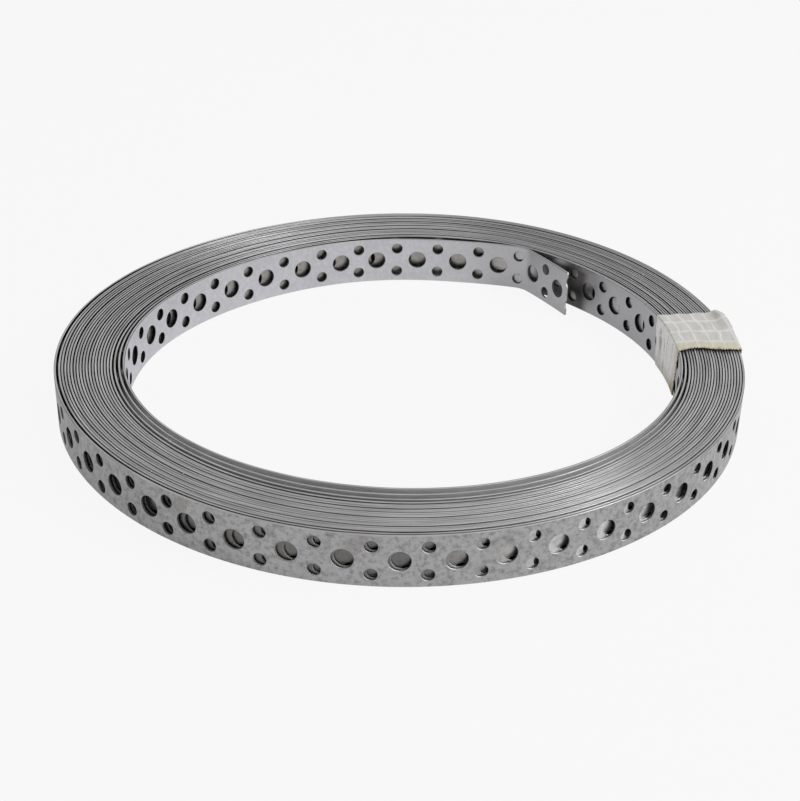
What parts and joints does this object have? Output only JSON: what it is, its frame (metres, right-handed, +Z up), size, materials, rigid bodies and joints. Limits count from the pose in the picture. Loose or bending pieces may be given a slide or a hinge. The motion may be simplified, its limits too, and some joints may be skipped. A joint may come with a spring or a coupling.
{
  "type": "roll of perforated metal strap",
  "caption": "Coil of galvanised perforated steel fixing strap, wound flat on itself, with a free inner end and a band of woven tape round its section.",
  "frame": {"origin": "on the axis of the coil, at the lower ends of its turns; the tape's underside lies 0.3 mm below", "axes": "+Z up along the axis of the coil, which lies on its end; the free inner end stands at the back right (+X, +Y) and the tape at the right (+X)"},
  "size_m": [0.223, 0.2228, 0.0176],
  "materials": {
    "strap": "galvanised, satin, lightly stained",
    "tape": "woven adhesive tape, slightly yellowed"
  },
  "bodies": {
    "root": {"strap": "strap", "tape": "tape"}
  },
  "joints": []
}
